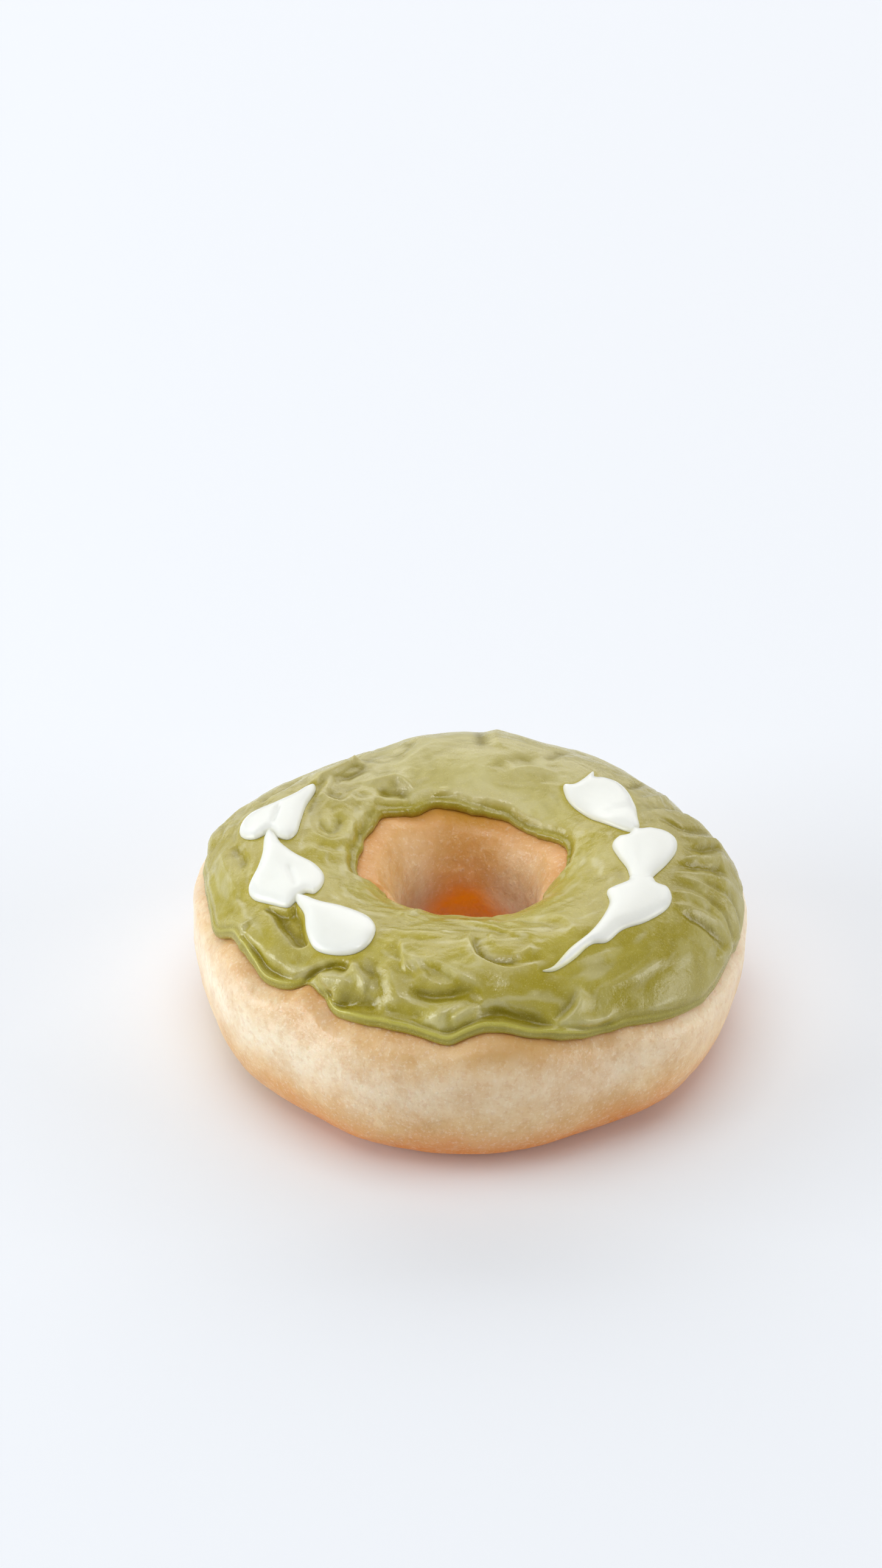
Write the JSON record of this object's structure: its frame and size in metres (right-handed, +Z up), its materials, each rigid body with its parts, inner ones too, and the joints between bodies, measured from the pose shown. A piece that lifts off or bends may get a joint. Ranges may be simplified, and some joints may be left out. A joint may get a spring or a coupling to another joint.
{
  "type": "ring doughnut",
  "caption": "Ring doughnut: a baked dough ring with a round hole, coated on top with green icing and decorated with piped chains of white icing hearts.",
  "frame": {"origin": "centre of the ring's base, on the surface that it rests on", "axes": "+Z up, along the hole; -Y towards the side where the icing comes lowest on the right and a chain's tail points; +X across the two white chains, from the chain with the single drop to the chain with the long tail"},
  "size_m": [0.0872, 0.0873, 0.0342],
  "materials": {
    "dough": "soft baked crust, matt, pale around the widest line and orange-brown below",
    "green_icing": "satin to glossy olive green icing with spatula ridges",
    "white_icing": "smooth glossy white icing"
  },
  "bodies": {
    "root": {"dough_ring": "dough", "green_icing": "green_icing", "white_icing_left": "white_icing", "white_icing_right": "white_icing"}
  },
  "joints": []
}
